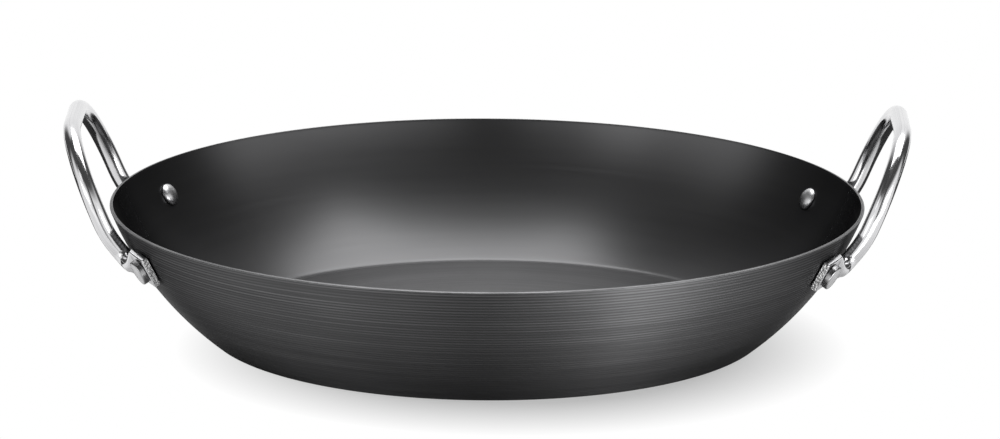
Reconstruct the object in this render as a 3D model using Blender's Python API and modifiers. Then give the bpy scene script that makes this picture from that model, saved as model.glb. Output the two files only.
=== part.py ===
"""Round serving pan of spun sheet steel with two riveted rod handles.

The pan stands on the XY plane with the centre of its base at the origin.
The handles lie on the X axis and +Z is up. All lengths are in metres.
"""
import math

import bmesh
import bpy
from mathutils import Matrix, Vector

# The bowl, one piece of spun sheet
RIM_DIAMETER = 0.350          # outside of the rim
BASE_DIAMETER = 0.255         # where the lines of the wall and of the base would meet
PAN_HEIGHT = 0.0615           # from the floor to the rim's outer edge
WALL_BULGE = 0.0052           # how far the wall's arc stands out of its own chord
BASE_CORNER = 0.008           # outside radius between the base and the wall
SHEET = 0.0016                # thickness of the sheet
RIM_EDGE = 0.0004             # rounding of the two edges of the rim

# The handles, each one length of round rod with its ends pressed flat
ROD_DIAMETER = 0.008
LOOP_RISE = 0.0384            # from the rim up to the rod's axis at the top of the loop
LOOP_REACH = 0.0160           # from the rim out to the rod's axis at the top of the loop
LOOP_WIDTH = 0.104            # between the rod's axes at the shoulders
LOOP_BEND = 0.0375            # radius of the two shoulders
KNEE_WIDTH = 0.1065           # between the rod's axes at the knees
KNEE_DROP = 0.0045            # from the rim down to the knees
KNEE_REACH = -0.002           # from the rim out to the knees
KNEE_BEND = 0.050             # radius of the knees
FOOT_BEND = 0.007             # radius between a leg and its tab
FOOT_FALL = 0.0015            # how far the tab drops from the leg's foot to the rivet
TAB_THICKNESS = 0.0034
TAB_WIDTH = 0.0155
TAB_PAST_RIVET = 0.0068       # from the rivet's axis to the end of the tab
PRESSED_LENGTH = 0.0145       # fully flat part of the tab
PRESS_TAPER = 0.0045          # length over which the round rod turns flat
TAB_SQUARENESS = 0.72         # 0 leaves the tab's section an ellipse, 1 would make it a rectangle

# The rivets
RIVET_ANGLE = math.radians(24.3)   # round the pan, from the X axis
RIVET_DEPTH = 0.0165          # along the wall, from the rim down to the rivet's axis
SHANK_DIAMETER = 0.006
OUTER_HEAD_DIAMETER = 0.012
OUTER_HEAD_HEIGHT = 0.0028
OUTER_HEAD_CROWN = 0.0003     # how much the outer head rises to its middle
OUTER_HEAD_EDGE = 0.0006      # rounding of the outer head's edge
INNER_HEAD_DIAMETER = 0.0112
INNER_HEAD_HEIGHT = 0.0026

# Clearance between pieces that touch, and how far a cutter reaches past what it cuts
FIT_GAP = 0.0003
CUTTER_MARGIN = 0.005

# How finely round shapes are divided
BOWL_SIDES = 80
WALL_STEPS = 8
CORNER_STEPS = 3
EDGE_STEPS = 2
RIVET_SIDES = 24
HEAD_STEPS = 5
CROWN_STEPS = 2
ROD_SIDES = 18
BEND_STEP = math.radians(13)
TAPER_STEPS = 5
SLIGHT_TURN = math.radians(3)    # a corner that turns less than this stays a plain point
BEND_ROOM = 0.97                 # share of a straight run that the bends at its two ends may take
SHARP_ANGLE = math.radians(40)   # edges sharper than this aren't shaded smooth
WELD = 0.00001

# Colours, with how metallic and how rough each finish is
BLACK_STEEL = ((0.085, 0.085, 0.087), 1.0, 0.42)
POLISHED_STEEL = ((0.72, 0.72, 0.73), 1.0, 0.16)

RIM_RADIUS = RIM_DIAMETER / 2
ROD_RADIUS = ROD_DIAMETER / 2


def clear_scene():
    for item in list(bpy.data.objects):
        bpy.data.objects.remove(item, do_unlink=True)


def make_collection(name):
    collection = bpy.data.collections.new(name)
    bpy.context.scene.collection.children.link(collection)
    return collection


def make_material(name, finish):
    colour, metallic, roughness = finish
    material = bpy.data.materials.new(name)
    material.use_nodes = True
    shader = material.node_tree.nodes["Principled BSDF"]
    shader.inputs["Base Color"].default_value = (*colour, 1.0)
    shader.inputs["Metallic"].default_value = metallic
    shader.inputs["Roughness"].default_value = roughness
    material.diffuse_color = (*colour, 1.0)
    return material


def add_object(name, mesh, collection, material=None):
    item = bpy.data.objects.new(name, mesh)
    collection.objects.link(item)
    if material is not None and not mesh.materials:
        mesh.materials.append(material)
    return item


# The wall's outer face is one arc, from the rim to the corner of the base

def wall_arc():
    """Centre (radius, height) and radius of the wall's arc."""
    rim = Vector((RIM_RADIUS, PAN_HEIGHT))
    foot = Vector((BASE_DIAMETER / 2, 0.0))
    chord = rim - foot
    half = chord.length / 2
    radius = (half * half + WALL_BULGE * WALL_BULGE) / (2 * WALL_BULGE)
    outward = Vector((chord.y, -chord.x)).normalized()
    centre = (rim + foot) / 2 - outward * (radius - WALL_BULGE)
    return centre, radius


def rim_angle():
    """Direction from the arc's centre to the rim's outer edge."""
    centre, _ = wall_arc()
    return math.atan2(PAN_HEIGHT - centre.y, RIM_RADIUS - centre.x)


def corner_centre():
    """Centre of the round between the wall and the base, with the direction to where they meet."""
    centre, radius = wall_arc()
    inner = radius - BASE_CORNER
    rise = BASE_CORNER - centre.y
    middle = Vector((centre.x + math.sqrt(inner * inner - rise * rise), BASE_CORNER))
    to_wall = middle - centre
    return middle, math.atan2(to_wall.y, to_wall.x)


def wall_point(depth, offset):
    """Radius and height of a point on the wall, with its outward normal."""
    centre, radius = wall_arc()
    angle = rim_angle() - depth / radius
    normal = Vector((math.cos(angle), math.sin(angle)))
    return centre + normal * (radius + offset), normal


def on_wall(angle, depth, offset):
    """The same point and normal in space, at an angle round the pan."""
    flat, normal = wall_point(depth, offset)
    place = Vector((flat.x * math.cos(angle), flat.x * math.sin(angle), flat.y))
    facing = Vector((normal.x * math.cos(angle), normal.x * math.sin(angle), normal.y))
    return place, facing


def arc_points(centre, radius, start, end, steps):
    turn = (end - start) / steps
    angles = [start + turn * step for step in range(steps + 1)]
    return [centre + Vector((math.cos(a), math.sin(a))) * radius for a in angles]


def bowl_profile():
    """Section of the bowl from the middle of its floor, over the rim, to the middle of its base."""
    centre, radius = wall_arc()
    corner, meet = corner_centre()
    down = -math.pi / 2
    rim = rim_angle()
    edge = min(RIM_EDGE, SHEET / 2)
    outer_rim = centre + Vector((math.cos(rim), math.sin(rim))) * radius
    inner_rim = centre + Vector((math.cos(rim), math.sin(rim))) * (radius - SHEET)
    across = (outer_rim - inner_rim).normalized()
    downward = Vector((across.y, -across.x))

    inside = arc_points(corner, BASE_CORNER - SHEET, down, meet, CORNER_STEPS)
    inside += arc_points(centre, radius - SHEET, meet, rim - edge / radius, WALL_STEPS)[1:]
    lip = arc_points(inner_rim + (across + downward) * edge, edge,
                     rim + math.pi, rim + math.pi / 2, EDGE_STEPS)[1:]
    lip += arc_points(outer_rim + (downward - across) * edge, edge,
                      rim + math.pi / 2, rim, EDGE_STEPS)
    outside = arc_points(centre, radius, rim - edge / radius, meet, WALL_STEPS)[1:]
    outside += arc_points(corner, BASE_CORNER, meet, down, CORNER_STEPS)[1:]
    return [Vector((0.0, SHEET))] + inside + lip + outside + [Vector((0.0, 0.0))]


def turned(name, profile, sides, collection, material):
    """A profile of (radius, height) points turned round the Z axis by a Screw modifier."""
    mesh = bpy.data.meshes.new(name)
    edges = [(i, i + 1) for i in range(len(profile) - 1)]
    mesh.from_pydata([(p.x, 0.0, p.y) for p in profile], edges, [])
    item = add_object(name, mesh, collection, material)
    screw = item.modifiers.new("Turn", "SCREW")
    screw.angle = 2 * math.pi
    screw.steps = sides
    screw.render_steps = sides
    screw.use_merge_vertices = True
    screw.merge_threshold = WELD
    screw.use_smooth_shade = True
    return item


# The rivets' places, one for each foot

def rivet_places():
    """Name, point on the wall's outer face and outward normal of each rivet."""
    places = []
    for side, turn in (("right", 0.0), ("left", math.pi)):
        for end, sign in (("front", -1), ("back", 1)):
            across = sign if side == "right" else -sign
            angle = turn + across * RIVET_ANGLE
            point, normal = on_wall(angle, RIVET_DEPTH, 0.0)
            places.append((f"rivet_{side}_{end}", point, normal))
    return places


def aim(item, point, normal):
    item.location = point
    item.rotation_mode = "QUATERNION"
    item.rotation_quaternion = normal.to_track_quat("Z", "Y")


def rivet_profile():
    """Section of a rivet from the outer head's middle to the inner head's middle.

    Height zero is the wall's outer face.
    """
    seat = 2 * FIT_GAP + TAB_THICKNESS
    top = seat + OUTER_HEAD_HEIGHT
    head = OUTER_HEAD_DIAMETER / 2
    edge = min(OUTER_HEAD_EDGE, (OUTER_HEAD_HEIGHT - OUTER_HEAD_CROWN) / 2)
    shoulder = top - OUTER_HEAD_CROWN - edge
    shank = SHANK_DIAMETER / 2
    shares = [step / CROWN_STEPS for step in range(CROWN_STEPS)]
    profile = [Vector(((head - edge) * s, top - OUTER_HEAD_CROWN * s * s)) for s in shares]
    profile += arc_points(Vector((head - edge, shoulder)), edge, math.pi / 2, 0.0, EDGE_STEPS)
    profile += [Vector((head, seat)), Vector((shank, seat))]

    inner_seat = -SHEET - FIT_GAP
    dome = INNER_HEAD_DIAMETER / 2
    profile += [Vector((shank, inner_seat)), Vector((dome, inner_seat))]
    for step in range(1, HEAD_STEPS + 1):
        swing = math.pi / 2 * step / HEAD_STEPS
        profile.append(Vector((dome * math.cos(swing), inner_seat - INNER_HEAD_HEIGHT * math.sin(swing))))
    profile[-1].x = 0.0
    return profile


def rivet_cutter(name, point, normal, collection):
    """A plain cylinder that opens the tab and the wall for one rivet."""
    length = 2 * (SHEET + TAB_THICKNESS + CUTTER_MARGIN)
    mesh = bpy.data.meshes.new(name)
    shape = bmesh.new()
    radius = SHANK_DIAMETER / 2 + FIT_GAP
    bmesh.ops.create_cone(shape, cap_ends=True, segments=RIVET_SIDES, radius1=radius,
                          radius2=radius, depth=length)
    shape.to_mesh(mesh)
    shape.free()
    item = add_object(name, mesh, collection)
    aim(item, point, normal)
    item.hide_render = True
    item.display_type = "WIRE"
    return item


def cut(item, cutters):
    for cutter in cutters:
        boolean = item.modifiers.new("Hole", "BOOLEAN")
        boolean.operation = "DIFFERENCE"
        boolean.solver = "EXACT"
        boolean.object = cutter


# The handle's rod

def fitted_bends(corners):
    """Half the angle and the bend radius of each corner between the first and the last.

    Bends that would overlap on the run between them are made smaller.
    """
    points = [corner for corner, _ in corners]
    halves = [(before - corner).angle(after - corner) / 2
              for before, corner, after in zip(points, points[1:], points[2:])]
    radii = [radius for _, radius in corners[1:-1]]
    reaches = [0.0] + [radius / math.tan(half) for radius, half in zip(radii, halves)] + [0.0]
    shares = []
    for index, (start, end) in enumerate(zip(points, points[1:])):
        wanted = max(reaches[index] + reaches[index + 1], WELD)
        shares.append(min(1.0, BEND_ROOM * (end - start).length / wanted))
    return [(half, radius * min(shares[index], shares[index + 1]))
            for index, (half, radius) in enumerate(zip(halves, radii))]


def bent(corners):
    """Points along a rod that runs straight between corners and bends round each one.

    Every corner is a point and a bend radius, and a radius of zero is a plain point.
    """
    path = [corners[0][0]]
    bends = fitted_bends(corners)
    for (before, _), (corner, _), (after, _), (half, radius) in zip(corners, corners[1:], corners[2:], bends):
        if radius == 0.0 or math.pi - 2 * half < SLIGHT_TURN:
            path.append(corner)
            continue
        back = (before - corner).normalized()
        ahead = (after - corner).normalized()
        centre = corner + (back + ahead).normalized() * (radius / math.sin(half))
        start = (corner + back * (radius / math.tan(half)) - centre).normalized()
        end = (corner + ahead * (radius / math.tan(half)) - centre).normalized()
        steps = max(2, math.ceil((math.pi - 2 * half) / BEND_STEP))
        path += [centre + start.slerp(end, step / steps) * radius for step in range(steps + 1)]
    path.append(corners[-1][0])
    return path


def foot_and_tab():
    """Points along the wall: the foot's corner, where the taper starts and ends, the rivet, the tab's end."""
    foot_radius = wall_point(RIVET_DEPTH, 0.0)[0].x
    flat_angle = RIVET_ANGLE - (PRESSED_LENGTH - TAB_PAST_RIVET) / foot_radius
    taper_angle = flat_angle - PRESS_TAPER / foot_radius
    foot_angle = taper_angle - FOOT_BEND / foot_radius
    end_angle = RIVET_ANGLE + TAB_PAST_RIVET / foot_radius
    tab_offset = FIT_GAP + TAB_THICKNESS / 2
    round_offset = FIT_GAP + ROD_RADIUS

    def along_wall(angle, offset):
        fall = FOOT_FALL * (angle - RIVET_ANGLE) / (RIVET_ANGLE - foot_angle)
        return on_wall(angle, RIVET_DEPTH + fall, offset)[0]

    return [along_wall(foot_angle, round_offset), along_wall(taper_angle, round_offset),
            along_wall(flat_angle, tab_offset), along_wall(RIVET_ANGLE, tab_offset),
            along_wall(end_angle, tab_offset)]


def leg_corners(foot, taper_start):
    """Corners of the rod's round part on the +Y side, from the middle of the loop's top."""
    top = PAN_HEIGHT + LOOP_RISE
    reach = RIM_RADIUS + LOOP_REACH
    knee = Vector((RIM_RADIUS + KNEE_REACH, KNEE_WIDTH / 2, PAN_HEIGHT - KNEE_DROP))
    return [
        (Vector((reach, 0.0, top)), 0.0),
        (Vector((reach, LOOP_WIDTH / 2, top)), LOOP_BEND),
        (knee, KNEE_BEND),
        (foot, FOOT_BEND),
        (taper_start, 0.0),
    ]


def section(press):
    """Outline of the rod, from round at press 0 to the flat tab at press 1."""
    half_width = ROD_RADIUS + (TAB_WIDTH / 2 - ROD_RADIUS) * press
    half_thickness = ROD_RADIUS + (TAB_THICKNESS / 2 - ROD_RADIUS) * press
    squareness = 1.0 - TAB_SQUARENESS * press
    outline = []
    for side in range(ROD_SIDES):
        angle = 2 * math.pi * side / ROD_SIDES
        c, s = math.cos(angle), math.sin(angle)
        outline.append((half_width * math.copysign(abs(c) ** squareness, c),
                        half_thickness * math.copysign(abs(s) ** squareness, s)))
    return outline


def stations():
    """Points along the whole rod, each with its press and the direction it is pressed in."""
    foot, taper_start, flat_start, rivet, end = foot_and_tab()
    corners = leg_corners(foot, taper_start)
    shoulder, knee = corners[1][0], corners[2][0]
    wall_facing = on_wall(RIVET_ANGLE, RIVET_DEPTH, 0.0)[1]
    loop_facing = (knee - shoulder).cross(Vector((0.0, 1.0, 0.0))).normalized()
    if loop_facing.x < 0:
        loop_facing.negate()
    row = []
    for point in bent(corners)[:-1]:
        share = (knee.z - point.z) / (knee.z - taper_start.z)
        share = max(0.0, min(1.0, share))
        row.append((point, 0.0, loop_facing.lerp(wall_facing, share)))
    for step in range(TAPER_STEPS + 1):
        press = step / TAPER_STEPS
        row.append((taper_start.lerp(flat_start, press), press, wall_facing))
    row += [(point, 1.0, wall_facing) for point in (rivet, end)]
    mirror = [(Vector((p.x, -p.y, p.z)), press, Vector((f.x, -f.y, f.z))) for p, press, f in row[1:]]
    return mirror[::-1] + row


def handle_mesh(material):
    """The rod as one skin, from one tab's end face to the other's."""
    row = stations()
    mesh = bpy.data.meshes.new("handle_rod")
    shape = bmesh.new()
    rings = []
    for index, (point, press, facing) in enumerate(row):
        before = row[max(index - 1, 0)][0]
        after = row[min(index + 1, len(row) - 1)][0]
        along = ((after - point).normalized() + (point - before).normalized()).normalized()
        out = (facing - along * facing.dot(along)).normalized()
        wide = out.cross(along)
        rings.append([shape.verts.new(point + wide * w + out * t) for w, t in section(press)])
    for first, second in zip(rings, rings[1:]):
        for side in range(ROD_SIDES):
            after = (side + 1) % ROD_SIDES
            shape.faces.new((first[side], first[after], second[after], second[side]))
    shape.faces.new(rings[0])
    shape.faces.new(rings[-1])
    bmesh.ops.recalc_face_normals(shape, faces=shape.faces)
    shape.to_mesh(mesh)
    shape.free()
    mesh.materials.append(material)
    mesh.shade_smooth()
    mesh.set_sharp_from_angle(angle=SHARP_ANGLE)
    return mesh


def build():
    clear_scene()
    pan = make_collection("serving_pan")
    cutting = make_collection("cutters")
    black_steel = make_material("black_steel", BLACK_STEEL)
    polished_steel = make_material("polished_steel", POLISHED_STEEL)

    places = rivet_places()
    cutters = {name: rivet_cutter(f"hole_{name}", point, normal, cutting)
               for name, point, normal in places}

    bowl = turned("pan_bowl", bowl_profile(), BOWL_SIDES, pan, black_steel)
    cut(bowl, cutters.values())

    rod = handle_mesh(polished_steel)
    for side, turn in (("right", 0.0), ("left", math.pi)):
        handle = add_object(f"handle_{side}", rod, pan)
        handle.matrix_world = Matrix.Rotation(turn, 4, "Z")
        cut(handle, [cutters[f"rivet_{side}_{end}"] for end in ("front", "back")])

    for name, point, normal in places:
        rivet = turned(name, rivet_profile(), RIVET_SIDES, pan, polished_steel)
        aim(rivet, point, normal)


build()
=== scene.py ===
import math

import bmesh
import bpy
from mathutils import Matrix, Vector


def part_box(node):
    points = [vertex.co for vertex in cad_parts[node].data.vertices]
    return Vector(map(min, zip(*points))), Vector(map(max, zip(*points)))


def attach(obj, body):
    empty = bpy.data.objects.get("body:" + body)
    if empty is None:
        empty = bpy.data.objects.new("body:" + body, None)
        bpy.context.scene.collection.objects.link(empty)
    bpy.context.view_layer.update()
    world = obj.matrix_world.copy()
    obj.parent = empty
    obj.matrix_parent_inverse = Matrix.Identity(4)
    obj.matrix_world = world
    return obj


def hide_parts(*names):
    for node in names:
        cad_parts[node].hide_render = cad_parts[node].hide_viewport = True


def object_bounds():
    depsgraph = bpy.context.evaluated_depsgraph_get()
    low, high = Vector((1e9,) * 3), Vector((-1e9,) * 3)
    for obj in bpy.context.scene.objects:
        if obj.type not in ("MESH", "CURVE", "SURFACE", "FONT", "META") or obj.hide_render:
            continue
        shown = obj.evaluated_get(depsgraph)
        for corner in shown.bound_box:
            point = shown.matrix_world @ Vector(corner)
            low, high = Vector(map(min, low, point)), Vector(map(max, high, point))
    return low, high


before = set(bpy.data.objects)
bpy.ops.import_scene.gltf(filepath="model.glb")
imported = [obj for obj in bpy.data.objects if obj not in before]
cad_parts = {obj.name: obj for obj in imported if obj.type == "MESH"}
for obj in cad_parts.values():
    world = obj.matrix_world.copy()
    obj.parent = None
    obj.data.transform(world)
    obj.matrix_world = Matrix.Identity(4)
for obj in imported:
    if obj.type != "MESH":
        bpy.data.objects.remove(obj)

# %% [markdown]
# # A serving pan of spun black steel
# The real pan is one round of dark sheet steel, spun on a lathe into a shallow bowl, with two
# bent rod handles riveted to it. A measured model of it is loaded above as a fixed frame, and this
# lesson dresses that model: finer meshes in the same places, the finish of each metal, and a plain
# studio. All lengths are in metres, the bowl's axis is Z, and the handles lie on the X axis.

CAD_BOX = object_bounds()
print("measured box:", [round(value, 4) for corner in CAD_BOX for value in corner])

# %% [markdown]
# ## The camera
# A product photo of a pan is taken from a few metres away with a long lens, so the rim's ellipse
# is almost the same size at the front and the back. The rim's ellipse gives the camera's height
# angle, and its far and near halves give a rough distance. A camera object is aimed at a point
# inside the bowl and then rolled a little, because the photographer's camera wasn't quite level.

# %% Aim the camera
CAMERA_PLACE = Vector((0.0242, -2.8942, 0.7499))
CAMERA_AIM = Vector((0.0060, 0.0, 0.0529))
CAMERA_ROLL = math.radians(0.31)
LENS_MM = 231.0
SENSOR_MM = 36.0

camera = bpy.data.objects.new("camera", bpy.data.cameras.new("camera"))
bpy.context.scene.collection.objects.link(camera)
camera.data.lens = LENS_MM
camera.data.sensor_width = SENSOR_MM
camera.rotation_mode = "QUATERNION"
camera.location = CAMERA_PLACE
look = (CAMERA_AIM - CAMERA_PLACE).to_track_quat("-Z", "Y")
camera.rotation_quaternion = look @ Matrix.Rotation(CAMERA_ROLL, 3, "Z").to_quaternion()
bpy.context.scene.camera = camera
print("camera distance:", round((CAMERA_AIM - CAMERA_PLACE).length, 3))

# %% [markdown]
# ## Helpers for pieces and materials
# Every piece is a mesh object that rides on the pan's one body and stands for the measured node
# that it refines. A material is made of a Principled shader and nodes that feed it. Making each
# node by hand takes several lines, so short functions place nodes, join them and do sums with them.

# %% Add pieces
BODY = "root"


def add_piece(name, mesh, node):
    """A mesh object that stands for one measured node, whose part is hidden."""
    piece = bpy.data.objects.new(name, mesh)
    bpy.context.scene.collection.objects.link(piece)
    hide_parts(node)
    return piece


def report(piece):
    print(piece.name, "faces:", len(piece.data.polygons))


print("the pieces ride on:", BODY)


# %% Place and join nodes
def place(tree, kind, **settings):
    """A new shader node with its plain settings and the values of its unlinked sockets."""
    node = tree.nodes.new(kind)
    for key, value in settings.items():
        if key in node.bl_rna.properties:
            setattr(node, key, value)
        else:
            node.inputs[key.replace("_", " ")].default_value = value
    return node


def join(tree, source, target):
    tree.links.new(source, target)


# %% Numbers, colours and normals from nodes
def arithmetic(tree, operation, first, second=None):
    """A Math node whose inputs are sockets or plain numbers."""
    node = tree.nodes.new("ShaderNodeMath")
    node.operation = operation
    for socket, value in zip(node.inputs, (first, second)):
        if isinstance(value, (int, float)):
            socket.default_value = value
        elif value is not None:
            tree.links.new(value, socket)
    return node.outputs["Value"]


def spread(tree, value, low, high, start=0.0, end=1.0):
    """A Map Range node: as the value goes from start to end, the result goes from low to high."""
    node = tree.nodes.new("ShaderNodeMapRange")
    tree.links.new(value, node.inputs["Value"])
    node.inputs["From Min"].default_value = start
    node.inputs["From Max"].default_value = end
    node.inputs["To Min"].default_value = low
    node.inputs["To Max"].default_value = high
    return node.outputs["Result"]


def blend(tree, factor, first, second):
    """A Mix node that goes from the first colour to the second as the factor goes from 0 to 1."""
    node = place(tree, "ShaderNodeMix", data_type="RGBA")
    node.inputs["A"].default_value = (*first, 1.0)
    node.inputs["B"].default_value = (*second, 1.0)
    join(tree, factor, node.inputs["Factor"])
    return node.outputs["Result"]


def bumped(tree, height, strength, distance):
    """The normal of a Bump node whose full height is a distance in metres."""
    node = place(tree, "ShaderNodeBump", Strength=strength, Distance=distance)
    join(tree, height, node.inputs["Height"])
    return node.outputs["Normal"]


# %% Places from nodes
def own_place(tree):
    """The x, y and z of the shaded point in the piece's own coordinates."""
    parts = place(tree, "ShaderNodeSeparateXYZ")
    join(tree, place(tree, "ShaderNodeTexCoord").outputs["Object"], parts.inputs["Vector"])
    return parts.outputs


def from_axis(tree, x, y):
    """The distance of the shaded point from the piece's own Z axis."""
    squares = [arithmetic(tree, "MULTIPLY", value, value) for value in (x, y)]
    return arithmetic(tree, "SQRT", arithmetic(tree, "ADD", *squares))


# %% Groups and materials
NOISE_SPAN = (0.3, 0.7)       # most values of a noise lie between these


def new_group(name, inputs, outputs):
    """A shader node group with named number inputs and named outputs."""
    group = bpy.data.node_groups.new(name, "ShaderNodeTree")
    for label, value in inputs:
        socket = group.interface.new_socket(label, in_out="INPUT", socket_type="NodeSocketFloat")
        socket.default_value = value
    for label in outputs:
        group.interface.new_socket(label, in_out="OUTPUT", socket_type="NodeSocketFloat")
    start = group.nodes.new("NodeGroupInput")
    end = group.nodes.new("NodeGroupOutput")
    return group, start.outputs, end.inputs


def use_group(tree, group, **values):
    """The outputs of a group that is placed in a material with its own values."""
    node = tree.nodes.new("ShaderNodeGroup")
    node.node_tree = group
    for key, value in values.items():
        node.inputs[key.replace("_", " ")].default_value = value
    return node.outputs


def new_material(name, metallic, roughness, colour):
    """A plain material, with its node tree and its shader's inputs."""
    material = bpy.data.materials.new(name)
    material.use_nodes = True
    shader = material.node_tree.nodes["Principled BSDF"]
    shader.inputs["Metallic"].default_value = metallic
    shader.inputs["Roughness"].default_value = roughness
    shader.inputs["Base Color"].default_value = (*colour, 1.0)
    material.diffuse_color = (*colour, 1.0)
    return material, material.node_tree, shader.inputs


# %% [markdown]
# ## Turned lines
# A lathe leaves fine lines that run round the axis. Noise would do for them if it changed fast
# across the lines and slowly along them. The group reads the distance from the axis and the
# height for the fast part, and the direction round the axis for the slow part. That direction is
# given as a sine and a cosine, in four-dimensional noise, so the lines close without a seam.
# A second, coarser noise gives bands, which are lines grouped together.

# %% Group for turned lines
BAND_SCALE = 0.12             # a band is about eight times as wide as a line
SMALLEST_RADIUS = 0.001       # the direction is never divided by less than this


def turned_lines_group():
    group, inputs, outputs = new_group(
        "turned_lines", [("Fineness", 900.0), ("Breaks", 3.0)], ["Lines", "Bands"])
    x, y, z = own_place(group)
    radius = from_axis(group, x, y)
    away = arithmetic(group, "MAXIMUM", radius, SMALLEST_RADIUS)
    cosine = arithmetic(group, "MULTIPLY", arithmetic(group, "DIVIDE", x, away), inputs["Breaks"])
    sine = arithmetic(group, "MULTIPLY", arithmetic(group, "DIVIDE", y, away), inputs["Breaks"])
    across = arithmetic(group, "MULTIPLY", radius, inputs["Fineness"])
    up = arithmetic(group, "MULTIPLY", z, inputs["Fineness"])
    vector = place(group, "ShaderNodeCombineXYZ")
    for socket, value in zip(vector.inputs, (across, up, cosine)):
        join(group, value, socket)
    for output, scale, detail in (("Lines", 1.0, 3.0), ("Bands", BAND_SCALE, 2.0)):
        noise = place(group, "ShaderNodeTexNoise", noise_dimensions="4D", Scale=scale, Detail=detail)
        join(group, vector.outputs["Vector"], noise.inputs["Vector"])
        join(group, sine, noise.inputs["W"])
        join(group, noise.outputs["Fac"], outputs[output])
    return group


turned_lines = turned_lines_group()
print("group:", turned_lines.name)

# %% [markdown]
# ## Smudges
# Metal that has been handled carries faint cloudy smudges. They could be painted, but soft noise
# in the piece's own coordinates needs no picture and no map. The bowl, its cut edge, the rods and
# the rivets use the group, each with clouds of its own size, as a mask for colour or roughness.

# %% Group for smudges
def smudges_group():
    group, inputs, outputs = new_group("smudges", [("Clouds", 18.0)], ["Smudge"])
    where = place(group, "ShaderNodeTexCoord").outputs["Object"]
    clouds = place(group, "ShaderNodeTexNoise", Detail=4.0, Roughness=0.55)
    join(group, where, clouds.inputs["Vector"])
    join(group, inputs["Clouds"], clouds.inputs["Scale"])
    join(group, clouds.outputs["Fac"], outputs["Smudge"])
    return group


smudges = smudges_group()
print("group:", smudges.name)

# %% [markdown]
# ## The bowl's measures
# The rim's radius comes from the measured model and the rest are plain numbers. The wall is one
# arc in section, and its centre and radius are worked out once, because the mesh, the rings in the
# metal and the places of the rivets all need them.

# %% Sizes of the bowl
RIM_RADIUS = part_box("pan_bowl")[1].x
PAN_HEIGHT = 0.0615           # from the floor to the rim's outer edge
BASE_RADIUS = 0.1275          # where the lines of the wall and of the base would meet
WALL_BULGE = 0.0052           # how far the wall's arc stands out of its own chord
BASE_CORNER = 0.008           # outside radius between the base and the wall
SHEET = 0.0016
RIM_EDGE = 0.0004             # rounding of the two edges of the rim
print("rim radius:", round(RIM_RADIUS, 4))


# %% The wall's arc
def direction(angle):
    return Vector((math.cos(angle), math.sin(angle)))


def wall_arc():
    """Centre (radius, height) and radius of the arc of the wall's outer face."""
    rim = Vector((RIM_RADIUS, PAN_HEIGHT))
    foot = Vector((BASE_RADIUS, 0.0))
    chord = rim - foot
    half = chord.length / 2
    radius = (half * half + WALL_BULGE * WALL_BULGE) / (2 * WALL_BULGE)
    outward = Vector((chord.y, -chord.x)).normalized()
    return (rim + foot) / 2 - outward * (radius - WALL_BULGE), radius


ARC_CENTRE, ARC_RADIUS = wall_arc()
RIM_ANGLE = math.atan2(PAN_HEIGHT - ARC_CENTRE.y, RIM_RADIUS - ARC_CENTRE.x)
print("wall arc radius:", round(ARC_RADIUS, 4), "slope at the rim:", round(math.degrees(RIM_ANGLE), 1))


# %% Where the corner meets the wall
def corner_centre():
    """Centre of the round between the wall and the base, and the direction to where they meet."""
    inner = ARC_RADIUS - BASE_CORNER
    rise = BASE_CORNER - ARC_CENTRE.y
    middle = Vector((ARC_CENTRE.x + math.sqrt(inner * inner - rise * rise), BASE_CORNER))
    to_wall = middle - ARC_CENTRE
    return middle, math.atan2(to_wall.y, to_wall.x)


CORNER_CENTRE, MEET_ANGLE = corner_centre()
print("flat of the base reaches:", round(CORNER_CENTRE.x, 4))

# %% [markdown]
# ## Painted light and shade of the tool's rings
# Each turn of the spinning tool leaves one ring on the outside of the wall, about as wide as the
# sheet is thick. A Wave texture makes rings by their distance from the axis, and those would lie
# further apart where the wall is steeper. So the group works out how far each point lies along
# the wall's arc, and lays one sine wave on each turn of the tool. The wave is painted light and
# shade: it makes the colour lighter and darker at the pitch of the ridges, as the light on them
# would. Noise that changes slowly round the pan makes some rings fainter and some lighter at
# random, and the rings fade towards the base.

# %% Group for the painted light and shade of the tool's rings
RING_PITCH = 0.0016
RING_CHANGE = 9.0             # how fast the rings change round the pan, for each metre
FAINT_TO_FULL = (0.30, 0.65)  # noise between these takes a ring from nothing to full strength
STRAY_SHADE = 0.5             # how much darker or lighter than the others a ring may be
STRAY_NOISE = (0.2, 0.8)      # noise between these goes from the darkest ring to the lightest
RINGS_AT_BASE = 0.25          # strength of the rings at the base
RINGS_COME_IN = (0.010, 0.050)  # heights between which they grow to full strength


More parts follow.
